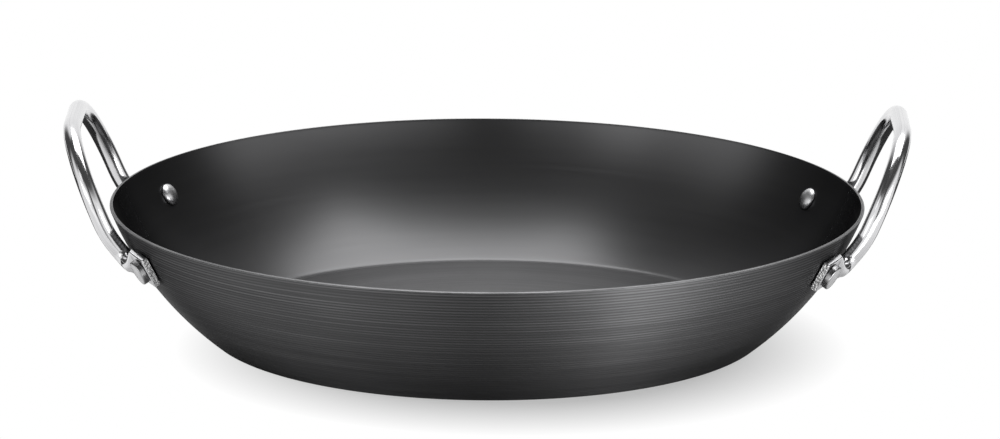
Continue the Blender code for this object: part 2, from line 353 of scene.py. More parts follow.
def ring_tone_and_shade_group():
    """Painted light and dark rings on the outside of the wall, one for each turn of the spinning tool.
    """
    group, inputs, outputs = new_group("ring_tone_and_shade", [("Pitch", RING_PITCH)], ["Ring"])
    x, y, z = own_place(group)
    swing = arithmetic(group, "ARCTAN2", arithmetic(group, "SUBTRACT", z, ARC_CENTRE.y),
                       arithmetic(group, "SUBTRACT", from_axis(group, x, y), ARC_CENTRE.x))
    along = arithmetic(group, "MULTIPLY", swing, ARC_RADIUS)
    turns = arithmetic(group, "DIVIDE", along, inputs["Pitch"])
    wave = arithmetic(group, "SINE", arithmetic(group, "MULTIPLY", turns, 2 * math.pi))
    spot = place(group, "ShaderNodeCombineXYZ")
    join(group, turns, spot.inputs["X"])
    for socket, value in (("Y", x), ("Z", y)):
        join(group, arithmetic(group, "MULTIPLY", value, RING_CHANGE), spot.inputs[socket])
    uneven = place(group, "ShaderNodeTexNoise", noise_dimensions="4D", Scale=0.9, Detail=2.0)
    join(group, spot.outputs["Vector"], uneven.inputs["Vector"])
    strength = spread(group, uneven.outputs["Fac"], 0.0, 1.0, *FAINT_TO_FULL)
    stray = spread(group, uneven.outputs["Fac"], -STRAY_SHADE, STRAY_SHADE, *STRAY_NOISE)
    ring = arithmetic(group, "ADD", arithmetic(group, "MULTIPLY", wave, strength), stray)
    fade = spread(group, z, RINGS_AT_BASE, 1.0, *RINGS_COME_IN)
    join(group, arithmetic(group, "MULTIPLY", ring, fade), outputs["Ring"])
    return group


ring_tone_and_shade = ring_tone_and_shade_group()
print("group:", ring_tone_and_shade.name)

# %% [markdown]
# ## Black spun steel
# The bowl's dark finish still shines like metal, so the shader is fully metallic with a dark
# colour. The turned lines make its highlights stretch across them, up and down the wall. That
# stretch is the shader's own anisotropy, with the tangent running round the axis. Roughness and
# colour change a little with the lines and the smudges, so no area is quite flat.
#
# One function makes three finishes from it. The inside of the wall was pressed smooth, so it has
# the least roughness and the faintest lines. The pan floor is a little rougher, and the outside is
# the roughest and carries the tool's rings as painted light and shade in its colour. The dark skin
# dulls the metal where it is seen at a low angle, so on the wall the shader's tint at the edges is
# turned down. On the outside it comes back just where the metal is seen edge on, and that gives the
# soft pale line round the pan.

# %% Material of the bowl
STEEL_GREY = 0.13
STEEL_BLUE = 0.0026           # the trace of blue that is added to the grey
LINE_HEIGHT = 0.0001          # of a turned line at full depth
LINE_SHADE = 0.8              # share of the lines' depth that also shows in the colour
GLOSSY_EDGE = (0.78, 0.94)    # between these the outside turns glossy, where it is seen edge on
QUARTER_TURN = 0.25           # turns the stretch of the highlights from along the lines to across


def black_spun_steel(name, smoothest, roughest, stretch, low_shine, lines, painted_ring_shade=0.0):
    """Dark spun steel: lines is the turned lines' depth, low_shine the shine at low angles."""
    material, tree, shader = new_material(
        name, metallic=1.0, roughness=roughest,
        colour=(STEEL_GREY, STEEL_GREY, STEEL_GREY + STEEL_BLUE))
    shader["Anisotropic"].default_value = stretch
    shader["Anisotropic Rotation"].default_value = QUARTER_TURN
    shader["Specular Tint"].default_value = (low_shine, low_shine, low_shine, 1.0)
    tangent = place(tree, "ShaderNodeTangent", direction_type="RADIAL", axis="Z")
    join(tree, tangent.outputs["Tangent"], shader["Tangent"])
    turned = use_group(tree, turned_lines, Fineness=700.0, Breaks=2.0)
    marks = use_group(tree, smudges, Clouds=14.0)
    mottle = arithmetic(tree, "MULTIPLY", turned["Bands"], marks["Smudge"])
    darker = STEEL_GREY * (1.0 - LINE_SHADE * lines)
    lighter = STEEL_GREY * (1.0 + LINE_SHADE * lines)
    finish = blend(tree, spread(tree, mottle, 0.0, 1.0, 0.1, 0.4),
                   (darker, darker, darker + STEEL_BLUE), (lighter, lighter, lighter + STEEL_BLUE))
    # painted light and shade: on the outside the colour is made darker and lighter ring by ring, at
    # the pitch of the wall's ridges
    if painted_ring_shade:
        rings = use_group(tree, ring_tone_and_shade, Pitch=RING_PITCH)
        ringed = place(tree, "ShaderNodeVectorMath", operation="SCALE")
        join(tree, finish, ringed.inputs[0])
        join(tree, spread(tree, rings["Ring"], 1.0 - painted_ring_shade, 1.0 + painted_ring_shade, -1.0, 1.0),
             ringed.inputs["Scale"])
        finish = ringed.outputs["Vector"]
        low_angle = place(tree, "ShaderNodeLayerWeight", Blend=0.5).outputs["Facing"]
        join(tree, spread(tree, low_angle, low_shine, 1.0, *GLOSSY_EDGE), shader["Specular Tint"])
    join(tree, finish, shader["Base Color"])
    join(tree, spread(tree, turned["Lines"], smoothest, roughest, *NOISE_SPAN), shader["Roughness"])
    join(tree, bumped(tree, turned["Lines"], lines, LINE_HEIGHT), shader["Normal"])
    return material


black_steel = black_spun_steel("black_spun_steel", smoothest=0.305, roughest=0.33, stretch=0.3,
                               low_shine=0.15, lines=0.05)
# the outside gets the rings of painted light and shade
ringed_steel = black_spun_steel("ringed_black_steel", smoothest=0.48, roughest=0.60, stretch=0.85,
                                low_shine=0.4, lines=0.15, painted_ring_shade=0.50)
floor_steel = black_spun_steel("black_pan_floor", smoothest=0.42, roughest=0.52, stretch=0.6,
                               low_shine=1.0, lines=0.15)
print("materials:", black_steel.name, ringed_steel.name, floor_steel.name)

# %% [markdown]
# ## The bare cut edge
# The sheet is cut square at the rim, and there the bare steel shows as a thin bright line. A
# bright line could be painted into the wall's finish, but the lip is real geometry, so its few
# faces simply get a lighter material of their own, with the same lathe lines at a finer pitch.

# %% Material of the cut edge
def bare_cut_edge():
    material, tree, shader = new_material(
        "bare_cut_edge", metallic=1.0, roughness=0.42, colour=(0.15, 0.15, 0.153))
    turned = use_group(tree, turned_lines, Fineness=3500.0, Breaks=6.0)
    marks = use_group(tree, smudges, Clouds=45.0)
    colour = blend(tree, spread(tree, marks["Smudge"], 0.0, 1.0, *NOISE_SPAN),
                   (0.11, 0.11, 0.113), (0.19, 0.19, 0.193))
    join(tree, colour, shader["Base Color"])
    join(tree, spread(tree, turned["Lines"], 0.30, 0.50, *NOISE_SPAN), shader["Roughness"])
    return material


cut_edge = bare_cut_edge()
print("material:", cut_edge.name)

# %% [markdown]
# ## The bowl
# A spun bowl is a turned shape: a section swept round the axis. A Screw modifier could sweep it,
# but a short loop that joins the rows of points can also give each row its own material. The
# section is drawn from the middle of the floor, up the inside of the wall, over the square-cut rim
# and down the outside to the middle of the base. The wall is one arc. The spinning tool left
# shallow ridges on its outside, about as far apart as the sheet is thick, and they are real here:
# the section ripples by a few hundredths of a millimetre, so the light picks them out from any
# side. The inside was pressed against the wooden form and is smooth.

# %% The ridges on the wall
RIDGE_HEIGHT = 0.000030       # of a crest above the ridges' middle line
RIDGE_STEPS = 6               # points of the section for each ridge
FULL_RIDGES_FROM = 0.625      # share of the way up the wall where the ridges reach full height


def rippled_wall(start, end):
    """The wall's outer arc between two angles, with ridges that fade towards the base."""
    steps = round(ARC_RADIUS * abs(end - start) / RING_PITCH) * RIDGE_STEPS
    points = []
    for step in range(steps + 1):
        share = step / steps
        angle = start + (end - start) * share
        wave = math.sin((angle - RIM_ANGLE) * ARC_RADIUS / RING_PITCH * 2 * math.pi)
        way_up = abs(angle - MEET_ANGLE) / abs(RIM_ANGLE - MEET_ANGLE)
        ripple = RIDGE_HEIGHT * wave * min(1.0, way_up / FULL_RIDGES_FROM)
        points.append(ARC_CENTRE + direction(angle) * (ARC_RADIUS - RIDGE_HEIGHT + ripple))
    return points


print("points up the rippled wall:", len(rippled_wall(RIM_ANGLE, MEET_ANGLE)))

# %% The bowl's section
WALL_STEPS = 72               # points of the section up the smooth inside of the wall
CORNER_STEPS = 12
EDGE_STEPS = 4


def arc_points(centre, radius, start, end, steps):
    return [centre + direction(start + (end - start) * step / steps) * radius
            for step in range(steps + 1)]


def bowl_section():
    """Points from the middle of the floor, over the rim, to the middle of the base."""
    down = -math.pi / 2
    edge_turn = RIM_EDGE / ARC_RADIUS
    inner_radius = ARC_RADIUS - SHEET
    along = direction(RIM_ANGLE)
    below = Vector((along.y, -along.x))
    inner_corner = ARC_CENTRE + along * inner_radius + (along + below) * RIM_EDGE
    outer_corner = ARC_CENTRE + along * ARC_RADIUS + (below - along) * RIM_EDGE
    section = [Vector((0.0, SHEET))]
    section += arc_points(CORNER_CENTRE, BASE_CORNER - SHEET, down, MEET_ANGLE, CORNER_STEPS)
    section += arc_points(ARC_CENTRE, inner_radius, MEET_ANGLE, RIM_ANGLE - edge_turn, WALL_STEPS)[1:]
    lip_start = len(section)
    section += arc_points(inner_corner, RIM_EDGE, RIM_ANGLE + math.pi,
                          RIM_ANGLE + math.pi / 2, EDGE_STEPS)[1:]
    section += arc_points(outer_corner, RIM_EDGE, RIM_ANGLE + math.pi / 2, RIM_ANGLE, EDGE_STEPS)
    lip_end = len(section)
    section += rippled_wall(RIM_ANGLE - edge_turn, MEET_ANGLE)[1:]
    section += arc_points(CORNER_CENTRE, BASE_CORNER, MEET_ANGLE, down, CORNER_STEPS)[1:]
    section.append(Vector((0.0, 0.0)))
    return section, lip_start, lip_end


BOWL_SECTION, LIP_START, LIP_END = bowl_section()
print("points in the bowl's section:", len(BOWL_SECTION))


# %% Sweep a section
def turned_mesh(name, section, sides, materials, material_of=lambda index: 0):
    """A closed skin from a section of (radius, height) points whose two ends lie on the axis."""
    mesh = bpy.data.meshes.new(name)
    shape = bmesh.new()
    rows = []
    for point in section[1:-1]:
        turns = [2 * math.pi * side / sides for side in range(sides)]
        rows.append([shape.verts.new((point.x * math.cos(a), point.x * math.sin(a), point.y))
                     for a in turns])
    first = shape.verts.new((0.0, 0.0, section[0].y))
    last = shape.verts.new((0.0, 0.0, section[-1].y))
    for side in range(sides):
        after = (side + 1) % sides
        shape.faces.new((first, rows[0][side], rows[0][after])).material_index = material_of(0)
        shape.faces.new((last, rows[-1][after], rows[-1][side]))
        for index in range(len(rows) - 1):
            low, high = rows[index], rows[index + 1]
            face = shape.faces.new((low[side], high[side], high[after], low[after]))
            face.material_index = material_of(index + 1)
    bmesh.ops.recalc_face_normals(shape, faces=shape.faces)
    shape.to_mesh(mesh)
    shape.free()
    for material in materials:
        mesh.materials.append(material)
    mesh.shade_smooth()
    return mesh


# %% Make the bowl
BOWL_SIDES = 256
BOWL_CREASE = math.radians(50)  # edges that turn more than this stay sharp
BOWL_FINISHES = [black_steel, cut_edge, ringed_steel, floor_steel]
INSIDE, LIP, OUTSIDE, PAN_FLOOR = range(4)


def bowl_finish(index):
    """Place in BOWL_FINISHES of the faces after a point of the section."""
    if index < CORNER_STEPS // 2:
        return PAN_FLOOR
    if index < LIP_START:
        return INSIDE
    return LIP if index < LIP_END - 1 else OUTSIDE


bowl = add_piece("spun_bowl",
                 turned_mesh("spun_bowl", BOWL_SECTION, BOWL_SIDES, BOWL_FINISHES, bowl_finish),
                 "pan_bowl")
bowl.data.set_sharp_from_angle(angle=BOWL_CREASE)
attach(bowl, BODY)
report(bowl)

# %% [markdown]
# ## Polished rod
# The handles are stainless rod, drawn and then polished, so faint lines run along the rod. The
# mesh of the rod carries a map with its length along one side, and noise that is stretched along
# that length gives the lines. The metal is bright, so nearly all of its look is the studio that
# it mirrors.

# %% Material of the handles
LINES_ROUND_ROD = 60.0
LINES_ALONG_ROD = 6.0         # for each metre, so every line is long


def polished_rod():
    material, tree, shader = new_material(
        "polished_rod", metallic=1.0, roughness=0.16, colour=(0.74, 0.74, 0.75))
    chart = place(tree, "ShaderNodeUVMap", uv_map="rod_map")
    stretch = place(tree, "ShaderNodeMapping", Scale=(LINES_ROUND_ROD, LINES_ALONG_ROD, 1.0))
    join(tree, chart.outputs["UV"], stretch.inputs["Vector"])
    drawn = place(tree, "ShaderNodeTexNoise", Scale=1.0, Detail=4.0)
    join(tree, stretch.outputs["Vector"], drawn.inputs["Vector"])
    marks = use_group(tree, smudges, Clouds=70.0)
    worn = arithmetic(tree, "MULTIPLY", drawn.outputs["Fac"], marks["Smudge"])
    join(tree, spread(tree, worn, 0.10, 0.22, 0.1, 0.45), shader["Roughness"])
    colour = blend(tree, spread(tree, drawn.outputs["Fac"], 0.0, 1.0, 0.35, 0.65),
                   (0.62, 0.62, 0.63), (0.77, 0.77, 0.78))
    join(tree, colour, shader["Base Color"])
    normal = bumped(tree, drawn.outputs["Fac"], strength=0.03, distance=0.00008)
    join(tree, normal, shader["Normal"])
    return material


rod_steel = polished_rod()
print("material:", rod_steel.name)

# %% [markdown]
# ## Sheared ends
# Shears cut the pressed ends of the rod to length, and no polish reached those two small faces.
# They are torn and sparkle in spots. The torn surface could be modelled, but it is finer than a
# pixel, so a pale metal with coarse noise in a strong bump gives the same sparkle.

# %% Material of the sheared ends
def sheared_end():
    material, tree, shader = new_material(
        "sheared_end", metallic=1.0, roughness=0.42, colour=(0.96, 0.96, 0.96))
    where = place(tree, "ShaderNodeTexCoord").outputs["Object"]
    grain = place(tree, "ShaderNodeTexNoise", Scale=1000.0, Detail=3.0)
    join(tree, where, grain.inputs["Vector"])
    join(tree, spread(tree, grain.outputs["Fac"], 0.30, 0.55, *NOISE_SPAN), shader["Roughness"])
    normal = bumped(tree, grain.outputs["Fac"], strength=1.0, distance=0.0008)
    join(tree, normal, shader["Normal"])
    return material


end_steel = sheared_end()
print("material:", end_steel.name)

# %% [markdown]
# ## The handles
# Each handle is one length of rod. It rises from a foot on the wall, bends round two shoulders
# and comes down to a second foot, and each end is pressed flat where the rivet goes through. The
# rod could be a bevelled curve, but the flat ends need a section that changes, so the rod is a
# loft: a ring of points is set up at each station along the path, and the rings are joined.

# %% Sizes of a handle
ROD_RADIUS = 0.004
LOOP_RISE = 0.0384            # from the rim up to the rod's axis at the top of the loop
LOOP_REACH = 0.0160           # from the rim out to the rod's axis at the top of the loop
LOOP_WIDTH = 0.104            # between the rod's axes at the shoulders
LOOP_BEND = 0.0375            # radius of a shoulder
KNEE_WIDTH = 0.1065           # between the rod's axes at the knees
KNEE_DROP = 0.0045            # from the rim down to the knees
KNEE_REACH = -0.002           # from the rim out to the knees
KNEE_BEND = 0.050             # radius of a knee
FOOT_BEND = 0.007             # radius between a leg and its tab
FOOT_FALL = 0.0015            # how far the tab drops from the leg's foot to the rivet
print("height of the handles:", round(PAN_HEIGHT + LOOP_RISE + ROD_RADIUS, 4))

# %% Sizes of a tab and the rivet's place
TAB_THICKNESS = 0.0034
TAB_WIDTH = 0.0155
TAB_PAST_RIVET = 0.0068       # from the rivet's axis to the tab's end
TAB_SQUARENESS = 0.72         # 0 would leave the tab's section an ellipse, and 1 a rectangle
TAB_EDGE = 0.0004             # bevel of the sheared end
PRESSED_LENGTH = 0.0145       # of the flat part
PRESS_TAPER = 0.0045          # over which the rod goes from round to flat
RIVET_ANGLE = math.radians(24.3)  # round the pan, from the handle's middle to a rivet
RIVET_DEPTH = 0.0165          # along the wall, from the rim down to the rivet's axis
FIT_GAP = 0.0003              # left between pieces that touch
print("tab:", TAB_WIDTH, "wide and", TAB_THICKNESS, "thick")


# %% Points on the wall
def on_wall(angle, depth, offset):
    """A point on the wall's outer face and its outward normal, at an angle round the pan."""
    slope = RIM_ANGLE - depth / ARC_RADIUS
    out = direction(slope)
    flat = ARC_CENTRE + out * (ARC_RADIUS + offset)
    round_pan = direction(angle)
    point = Vector((flat.x * round_pan.x, flat.x * round_pan.y, flat.y))
    return point, Vector((out.x * round_pan.x, out.x * round_pan.y, out.y))


rivet_place = on_wall(RIVET_ANGLE, RIVET_DEPTH, 0.0)[0]
print("a right rivet is at:", [round(value, 4) for value in rivet_place])

# %% [markdown]
# ## The rod's path
# A bent rod is straight between its bends, and each bend is an arc of one radius. The path is
# therefore written as a few corners with a radius each, and one function puts the arcs in. A
# curve object could follow the same line, but its handles would have to be set by hand, and its
# bends wouldn't be true arcs. The last stretch follows the wall, so the tab lies flat on it.

# %% Corners of the rod's path
def foot_and_tab():
    """The foot's corner, where the taper starts and ends, the rivet and the tab's end."""
    foot_radius = (ARC_CENTRE + direction(RIM_ANGLE - RIVET_DEPTH / ARC_RADIUS) * ARC_RADIUS).x
    flat_angle = RIVET_ANGLE - (PRESSED_LENGTH - TAB_PAST_RIVET) / foot_radius
    taper_angle = flat_angle - PRESS_TAPER / foot_radius
    foot_angle = taper_angle - FOOT_BEND / foot_radius
    end_angle = RIVET_ANGLE + TAB_PAST_RIVET / foot_radius
    tab_offset = FIT_GAP + TAB_THICKNESS / 2
    round_offset = FIT_GAP + ROD_RADIUS

    def along_wall(angle, offset):
        fall = FOOT_FALL * (angle - RIVET_ANGLE) / (RIVET_ANGLE - foot_angle)
        return on_wall(angle, RIVET_DEPTH + fall, offset)[0]

    return [along_wall(foot_angle, round_offset), along_wall(taper_angle, round_offset),
            along_wall(flat_angle, tab_offset), along_wall(RIVET_ANGLE, tab_offset),
            along_wall(end_angle, tab_offset)]


def leg_corners(foot, taper_start):
    """Corners of the rod's round part on the +Y side, from the middle of the loop's top."""
    top = PAN_HEIGHT + LOOP_RISE
    reach = RIM_RADIUS + LOOP_REACH
    knee = Vector((RIM_RADIUS + KNEE_REACH, KNEE_WIDTH / 2, PAN_HEIGHT - KNEE_DROP))
    return [(Vector((reach, 0.0, top)), 0.0), (Vector((reach, LOOP_WIDTH / 2, top)), LOOP_BEND),
            (knee, KNEE_BEND), (foot, FOOT_BEND), (taper_start, 0.0)]


# %% Stations along the rod
BEND_STEP = math.radians(3)
TAPER_STEPS = 14


def bent(corners):
    """Points along straight runs between corners, with an arc of each corner's radius."""
    path = [corners[0][0]]
    for before, (corner, radius), after in zip(corners, corners[1:], corners[2:]):
        back = (before[0] - corner).normalized()
        ahead = (after[0] - corner).normalized()
        half = back.angle(ahead) / 2
        centre = corner + (back + ahead).normalized() * (radius / math.sin(half))
        start = (corner + back * (radius / math.tan(half)) - centre).normalized()
        end = (corner + ahead * (radius / math.tan(half)) - centre).normalized()
        steps = max(2, math.ceil((math.pi - 2 * half) / BEND_STEP))
        path += [centre + start.slerp(end, step / steps) * radius for step in range(steps + 1)]
    path.append(corners[-1][0])
    return path


def ease(share):
    """A share from 0 to 1 that starts and ends gently."""
    return share * share * (3 - 2 * share)


def stations():
    """Points along the whole rod, each with its press and the direction it is pressed in."""
    foot, taper_start, flat_start, rivet, end = foot_and_tab()
    corners = leg_corners(foot, taper_start)
    shoulder, knee = corners[1][0], corners[2][0]
    wall_facing = on_wall(RIVET_ANGLE, RIVET_DEPTH, 0.0)[1]
    loop_facing = (knee - shoulder).cross(Vector((0.0, 1.0, 0.0))).normalized()
    if loop_facing.x < 0:
        loop_facing.negate()
    row = []
    for point in bent(corners)[:-1]:
        share = (knee.z - point.z) / (knee.z - taper_start.z)
        share = max(0.0, min(1.0, share))
        row.append((point, 0.0, loop_facing.lerp(wall_facing, share)))
    for step in range(TAPER_STEPS + 1):
        share = step / TAPER_STEPS
        row.append((taper_start.lerp(flat_start, share), ease(share), wall_facing))
    along = (end - rivet).normalized()
    row += [(point, 1.0, wall_facing) for point in (rivet, end - along * TAB_EDGE, end)]
    mirror = [(Vector((p.x, -p.y, p.z)), press, Vector((f.x, -f.y, f.z))) for p, press, f in row[1:]]
    return mirror[::-1] + row


ROD_STATIONS = stations()
print("stations along the rod:", len(ROD_STATIONS))

# %% [markdown]
# ## The rod's section
# The press squeezes the round rod to a tab that is wider, thinner and nearly square at its edges.
# A second outline could be drawn for the tab, but one formula gives both and all steps between
# them. The points of a circle are a cosine and a sine. When both are raised to a power that falls
# from 1 towards 0, the circle turns towards a rectangle.

# %% The rod's section
ROD_SIDES = 48


def section_outline(press, shrink):
    """Outline of the rod, from round at press 0 to the flat tab at press 1."""
    half_width = ROD_RADIUS + (TAB_WIDTH / 2 - ROD_RADIUS) * press - shrink
    half_thickness = ROD_RADIUS + (TAB_THICKNESS / 2 - ROD_RADIUS) * press - shrink
    power = 1.0 - TAB_SQUARENESS * press
    outline = []
    for side in range(ROD_SIDES):
        point = direction(2 * math.pi * side / ROD_SIDES)
        outline.append((half_width * math.copysign(abs(point.x) ** power, point.x),
                        half_thickness * math.copysign(abs(point.y) ** power, point.y)))
    return outline


print("points round the tab:", len(section_outline(1.0, 0.0)))

# %% Loft the rod
ROD_CREASE = math.radians(35)  # edges that turn more than this stay sharp


def rod_mesh():
    row = ROD_STATIONS
    mesh = bpy.data.meshes.new("rod")
    shape = bmesh.new()
    chart = shape.loops.layers.uv.new("rod_map")
    rings, lengths, travelled = [], [], 0.0
    for index, (point, press, facing) in enumerate(row):
        before = row[max(index - 1, 0)][0]
        after = row[min(index + 1, len(row) - 1)][0]
        travelled += (point - before).length
        lengths.append(travelled)
        along = ((after - point).normalized() + (point - before).normalized()).normalized()
        out = (facing - along * facing.dot(along)).normalized()
        wide = out.cross(along)
        shrink = TAB_EDGE if index in (0, len(row) - 1) else 0.0
        rings.append([shape.verts.new(point + wide * w + out * t)
                      for w, t in section_outline(press, shrink)])
    for index in range(len(rings) - 1):
        first, second = rings[index], rings[index + 1]
        for side in range(ROD_SIDES):
            after = (side + 1) % ROD_SIDES
            face = shape.faces.new((first[side], first[after], second[after], second[side]))
            face.smooth = True
            places = ((side, index), (side + 1, index), (side + 1, index + 1), (side, index + 1))
            for loop, (around, station) in zip(face.loops, places):
                loop[chart].uv = (around / ROD_SIDES, lengths[station])
    for ring in (rings[0], rings[-1]):
        face = shape.faces.new(ring)
        face.material_index = 1
    bmesh.ops.recalc_face_normals(shape, faces=shape.faces)
    shape.to_mesh(mesh)
    shape.free()
    mesh.materials.append(rod_steel)
    mesh.materials.append(end_steel)
    mesh.set_sharp_from_angle(angle=ROD_CREASE)
    return mesh


rod = rod_mesh()
for side, turn in (("right", 0.0), ("left", math.pi)):
    handle = add_piece(f"rod_handle_{side}", rod, f"handle_{side}")
    handle.matrix_world = Matrix.Rotation(turn, 4, "Z")
    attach(handle, BODY)
    report(handle)

# %% [markdown]
# ## Rivets
# A rivet is turned stock with a flat head outside, whose edge is rounded, and a small dome that
# was formed inside the pan. It is a turned section again, so the bowl's sweep makes it too. Its
# steel is satin, with lathe lines round its own axis. A dark line of painted shade runs round the
# rim of each head: the colour is bright on the face and darker over the rounded edge, so it
# changes with the distance from the axis.

# %% Material of the rivets
# painted shade: the dark line round the rim of each rivet head
PAINTED_EDGE_SHADE = (0.0050, 0.0057)  # the head goes from bright to dark between these radii


def satin_rivet_steel():
    material, tree, shader = new_material(
        "satin_rivet_steel", metallic=1.0, roughness=0.28, colour=(0.66, 0.66, 0.67))
    turned = use_group(tree, turned_lines, Fineness=5000.0, Breaks=1.0)
    marks = use_group(tree, smudges, Clouds=160.0)
    join(tree, spread(tree, marks["Smudge"], 0.20, 0.40, *NOISE_SPAN), shader["Roughness"])
    x, y = own_place(tree)[:2]
    # painted shade: each head's colour turns darker over its rounded edge, by the distance from the
    # axis
    colour = blend(tree, spread(tree, from_axis(tree, x, y), 0.0, 1.0, *PAINTED_EDGE_SHADE),
                   (0.66, 0.66, 0.67), (0.42, 0.42, 0.425))
    join(tree, colour, shader["Base Color"])
    normal = bumped(tree, turned["Lines"], strength=0.25, distance=LINE_HEIGHT)
    join(tree, normal, shader["Normal"])
    return material


rivet_steel = satin_rivet_steel()
print("material:", rivet_steel.name)

# %% Sizes of a rivet
SHANK_RADIUS = 0.003
OUTER_HEAD_RADIUS = 0.006
OUTER_HEAD_HEIGHT = 0.0028
OUTER_HEAD_CROWN = 0.0003
OUTER_HEAD_EDGE = 0.0006
INNER_HEAD_RADIUS = 0.0056
INNER_HEAD_HEIGHT = 0.0026
DOME_STEPS = 14
CROWN_STEPS = 6
print("heads across:", 2 * OUTER_HEAD_RADIUS, "outside and", 2 * INNER_HEAD_RADIUS, "inside")


# %% The rivet's section
def rivet_section():
    """Outer head's middle to inner head's middle, with height zero at the wall's outer face."""
    seat = 2 * FIT_GAP + TAB_THICKNESS
    top = seat + OUTER_HEAD_HEIGHT
    flat = OUTER_HEAD_RADIUS - OUTER_HEAD_EDGE
    shoulder = top - OUTER_HEAD_CROWN - OUTER_HEAD_EDGE
    shares = [step / CROWN_STEPS for step in range(CROWN_STEPS)]
    section = [Vector((flat * s, top - OUTER_HEAD_CROWN * s * s)) for s in shares]
    section += arc_points(Vector((flat, shoulder)), OUTER_HEAD_EDGE, math.pi / 2, 0.0, EDGE_STEPS)
    inner_seat = -SHEET - FIT_GAP
    section += [Vector((OUTER_HEAD_RADIUS, seat)), Vector((SHANK_RADIUS, seat)),
                Vector((SHANK_RADIUS, inner_seat))]
    for step in range(DOME_STEPS + 1):
        swing = direction(math.pi / 2 * step / DOME_STEPS)
        section.append(Vector((INNER_HEAD_RADIUS * swing.x, inner_seat - INNER_HEAD_HEIGHT * swing.y)))
    section[-1].x = 0.0
    return section


RIVET_SECTION = rivet_section()
print("points in a rivet's section:", len(RIVET_SECTION))

# %% Make the rivets
RIVET_SIDES = 64
RIVET_CREASE = math.radians(40)  # edges that turn more than this stay sharp

rivet = turned_mesh("rivet", RIVET_SECTION, RIVET_SIDES, [rivet_steel])
rivet.set_sharp_from_angle(angle=RIVET_CREASE)
for side, turn in (("right", 0.0), ("left", math.pi)):
    for end, sign in (("front", -1), ("back", 1)):
        across = sign if side == "right" else -sign
        point, normal = on_wall(turn + across * RIVET_ANGLE, RIVET_DEPTH, 0.0)
        piece = add_piece(f"turned_rivet_{side}_{end}", rivet, f"rivet_{side}_{end}")
        piece.rotation_mode = "QUATERNION"
        piece.location = point
        piece.rotation_quaternion = normal.to_track_quat("Z", "Y")
        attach(piece, BODY)
        report(piece)

# %% [markdown]
# ## The floor
# The pan stands on a plain white sweep. Near the pan the floor is an ordinary matt surface, so it
# keeps the pan's soft shadow. Further out it turns into plain white for the camera, so it joins
# the white background without a line. A second, wider mask does the same for mirrored light: the
# underside of the wall then mirrors the shadow near its foot and white further up.

# %% Material of the floor
SHADOW_MIDDLE = (0.012, -0.030, 0.0)  # the shadow falls a little to the right and forward
SHADOW_EDGE = (0.100, 0.155)  # the floor turns from matt to white over these distances
SHADOW_LIGHTENED = 0.46       # share of the white that the shadow keeps
MIRRORED_EDGE = (0.14, 0.26)  # mirrored rays see the floor's white over these distances
FLOOR_COLOUR = (0.86, 0.86, 0.86)


def floor_material():
    material = bpy.data.materials.new("white_sweep")
    material.use_nodes = True
    tree = material.node_tree
    tree.nodes.clear()
    matt = place(tree, "ShaderNodeBsdfDiffuse", Color=(*FLOOR_COLOUR, 1.0))
    white = place(tree, "ShaderNodeEmission", Color=(1.0, 1.0, 1.0, 1.0), Strength=1.0)
    where = place(tree, "ShaderNodeTexCoord").outputs["Object"]
    distance = place(tree, "ShaderNodeVectorMath", operation="DISTANCE")
    distance.inputs[1].default_value = SHADOW_MIDDLE
    join(tree, where, distance.inputs[0])
    path = place(tree, "ShaderNodeLightPath").outputs
    seen = spread(tree, distance.outputs["Value"], SHADOW_LIGHTENED, 1.0, *SHADOW_EDGE)
    mirrored = spread(tree, distance.outputs["Value"], 0.0, 1.0, *MIRRORED_EDGE)
    mirror_rays = arithmetic(tree, "MAXIMUM", path["Is Glossy Ray"], path["Is Transmission Ray"])
    factor = arithmetic(tree, "MAXIMUM", arithmetic(tree, "MULTIPLY", seen, path["Is Camera Ray"]),
                        arithmetic(tree, "MULTIPLY", mirrored, mirror_rays))
    mix = place(tree, "ShaderNodeMixShader")
    join(tree, factor, mix.inputs["Fac"])
    join(tree, matt.outputs["BSDF"], mix.inputs[1])
    join(tree, white.outputs["Emission"], mix.inputs[2])
    output = place(tree, "ShaderNodeOutputMaterial")
    join(tree, mix.outputs["Shader"], output.inputs["Surface"])
    return material


white_sweep = floor_material()
print("material:", white_sweep.name)

# %% Lay the floor
SWEEP = ((-1.2, -0.25), (1.2, 3.0))   # near left and far right corners of the sweep
FLOOR_CLEARANCE = 0.0001      # keeps the base's face from lying in the floor's own face

floor_mesh = bpy.data.meshes.new("floor")
(near_x, near_y), (far_x, far_y) = SWEEP
floor_mesh.from_pydata([(near_x, near_y, 0.0), (far_x, near_y, 0.0), (far_x, far_y, 0.0),
                        (near_x, far_y, 0.0)], [], [(0, 1, 2, 3)])
floor_mesh.materials.append(white_sweep)
floor = bpy.data.objects.new("floor", floor_mesh)
bpy.context.scene.collection.objects.link(floor)
floor.location.z = CAD_BOX[0].z - FLOOR_CLEARANCE
print("floor at", round(floor.location.z, 5))

# %% [markdown]
# ## The studio
# Dark metal shows what stands round it, so the light is set up for what each part of it mirrors.
# A broad soft box overhead lights the pan floor and the lower half of the far wall. A low one at
# each side in front gives the long bright bands on the rods, and a panel lying on the floor in
# front of each side gives the two glows on the outside of the wall. The right side is brighter
# than the left one. A small box high on the left lights the far wall under the rim.

# %% Place the soft boxes
# Each soft box has its name, its place, the point it faces, its width and height, and its brightness.
SOFT_BOXES = (
    ("overhead", (0.21, 0.46, 1.45), (0.21, 0.46, 0.0), (1.5, 1.16), 3.0),
    ("right_low", (1.00, -0.90, 0.20), (0.0, 0.0, 0.05), (0.75, 0.40), 4.0),
    ("left_low", (-1.00, -0.90, 0.20), (0.0, 0.0, 0.05), (0.75, 0.40), 1.1),
    ("floor_right", (0.30, -0.40, 0.004), (0.30, -0.399, 0.40), (0.40, 0.44), 2.7),
    ("floor_left", (-0.30, -0.41, 0.004), (-0.30, -0.409, 0.40), (0.36, 0.40), 0.3),
    ("left_upper", (-0.95, -0.85, 0.85), (0.0, 0.0, 0.05), (0.45, 0.35), 0.9),
)


